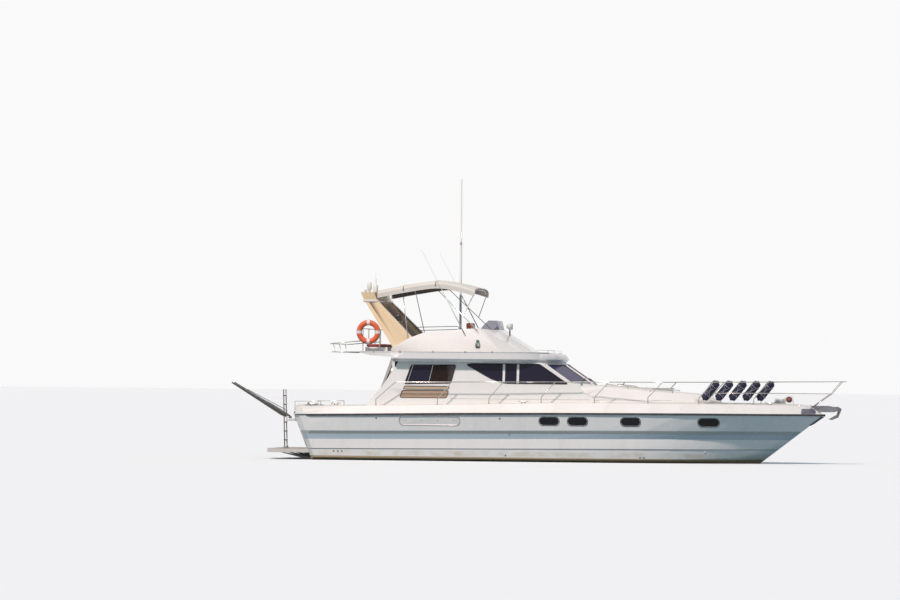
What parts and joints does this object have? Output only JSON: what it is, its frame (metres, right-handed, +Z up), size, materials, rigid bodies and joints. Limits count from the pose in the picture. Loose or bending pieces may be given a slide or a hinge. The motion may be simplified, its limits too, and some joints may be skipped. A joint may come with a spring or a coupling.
{
  "type": "flybridge motor yacht",
  "caption": "White flybridge motor yacht with raked transom, swim platform, saloon windows, radar arch, canvas bimini, guard rails and twin screws.",
  "frame": {"origin": "on the waterline, on the centreline, midway along the hull", "axes": "+X towards the bow, +Y towards port, +Z up"},
  "size_m": [18.4632, 4.666, 9.6911],
  "materials": {
    "gelcoat": "glossy white gelcoat",
    "rub_rail": "black rubber strake",
    "smoked_glass": "tinted glass",
    "hull_glass": "dark closed window",
    "steel": "polished stainless steel",
    "aluminium": "satin",
    "teak": "teak planking",
    "arch": "cream painted moulding",
    "canvas": "cream acrylic canvas",
    "acrylic": "tinted acrylic",
    "navy": "navy fender cover",
    "orange": "red-orange with white bands",
    "upholstery": "red vinyl",
    "white_plastic": "satin white",
    "bronze": "cast bronze",
    "engine": "plain block",
    "interior": "brown interior trim",
    "black_plastic": "black",
    "beige": "tan painted locker doors"
  },
  "bodies": {
    "root": {"aft_bulkhead": "gelcoat", "anchor": "steel", "arch_equipment": "white_plastic", "bimini_canvas": "canvas", "bimini_frame": "steel", "bow_roller": "steel", "cleats": "steel", "coachroof": "gelcoat", "cockpit_sole": "teak", "dash": "interior", "deck": "gelcoat", "engine_vents": "aluminium", "engines": "engine", "fender_racks": "steel", "fenders": "navy", "flybridge": "gelcoat", "flybridge_aft_rail": "steel", "flybridge_bench_cushion": "upholstery", "flybridge_ladder": "steel", "flybridge_seat_box": "gelcoat", "flybridge_seat_cushions": "upholstery", "guard_rail_port": "steel", "guard_rail_starboard": "steel", "handrails": "steel", "hatch_frame": "aluminium", "hull": "gelcoat", "hull_windows": "hull_glass", "lifebuoy": "orange", "navigation_lights": "black_plastic", "passerelle_foot": "steel", "pole_aerial": "white_plastic", "radar_arch": "arch", "rub_rail": "rub_rail", "saloon_furniture": "interior", "saloon_side_glass": "smoked_glass", "saloon_sides": "gelcoat", "saloon_sole": "teak", "shaft_brackets": "bronze", "shaft_logs": "bronze", "side_lockers": "beige", "staff_socket": "steel", "swim_platform": "gelcoat", "trim_tabs": "steel", "whip_aerials": "white_plastic", "wind_deflector": "acrylic", "windlass": "white_plastic", "windscreen": "smoked_glass"},
    "propeller_port": {"propeller_port": "bronze"},
    "propeller_starboard": {"propeller_starboard": "bronze"},
    "rudder_port": {"rudder_port": "bronze"},
    "rudder_starboard": {"rudder_starboard": "bronze"},
    "flybridge_wheel": {"flybridge_wheel": "steel"},
    "saloon_wheel": {"saloon_wheel": "steel"},
    "saloon_door": {"saloon_door": "aluminium", "saloon_door_glass": "smoked_glass"},
    "engine_hatch": {"engine_hatch": "teak"},
    "hatch_lid": {"hatch_lid": "smoked_glass"},
    "transom_gate": {"transom_gate": "gelcoat"},
    "boarding_ladder": {"boarding_ladder": "steel"},
    "passerelle": {"passerelle": "aluminium"}
  },
  "joints": [
    {"name": "propeller_port_spin", "type": "hinge", "parent": "root", "child": "propeller_port", "pos_m": [-6.6, 0.85, -0.8], "axis": [0.9848, 0, 0.1735], "continuous": true},
    {"name": "propeller_starboard_spin", "type": "hinge", "parent": "root", "child": "propeller_starboard", "pos_m": [-6.6, -0.85, -0.8], "axis": [0.9848, 0, 0.1735], "continuous": true},
    {"name": "rudder_port_turn", "type": "hinge", "parent": "root", "child": "rudder_port", "pos_m": [-7.08, 0.85, -0.5], "axis": [0, 0, 1], "range_deg": [-35, 35]},
    {"name": "rudder_starboard_turn", "type": "hinge", "parent": "root", "child": "rudder_starboard", "pos_m": [-7.08, -0.85, -0.5], "axis": [0, 0, 1], "range_deg": [-35, 35]},
    {"name": "flybridge_wheel_turn", "type": "hinge", "parent": "root", "child": "flybridge_wheel", "pos_m": [-2.235, 0.45, 3.72], "axis": [-0.866, 0, 0.5], "range_deg": [-540, 540]},
    {"name": "saloon_wheel_turn", "type": "hinge", "parent": "root", "child": "saloon_wheel", "pos_m": [-0.42, -0.85, 1.93], "axis": [-0.8192, 0, 0.5736], "range_deg": [-540, 540]},
    {"name": "saloon_door_slide", "type": "slide", "parent": "root", "child": "saloon_door", "axis": [0, 1, 0], "range_m": [0, 0.95]},
    {"name": "engine_hatch_lift", "type": "hinge", "parent": "root", "child": "engine_hatch", "pos_m": [-5.603, 0, 1.106], "axis": [0, 1, 0], "range_deg": [0, 80]},
    {"name": "coachroof_hatch_lift", "type": "hinge", "parent": "root", "child": "hatch_lid", "pos_m": [3.362, 0, 2.231], "axis": [0, 1, 0], "range_deg": [0, 75]},
    {"name": "transom_gate_swing", "type": "hinge", "parent": "root", "child": "transom_gate", "pos_m": [-7.612, 1.352, 1.35], "axis": [0, 0, 1], "range_deg": [0, 95]},
    {"name": "boarding_ladder_fold", "type": "hinge", "parent": "root", "child": "boarding_ladder", "pos_m": [-8.48, 0, 0.345], "axis": [0, -1, 0], "range_deg": [0, 170]},
    {"name": "passerelle_lift", "type": "hinge", "parent": "root", "child": "passerelle", "pos_m": [-8.15, -1.25, 1.27], "axis": [0, 1, 0], "range_deg": [-35, 45]}
  ],
  "couplings": [
    {"joint": "rudder_starboard_turn", "follows": "rudder_port_turn", "ratio": 1}
  ]
}
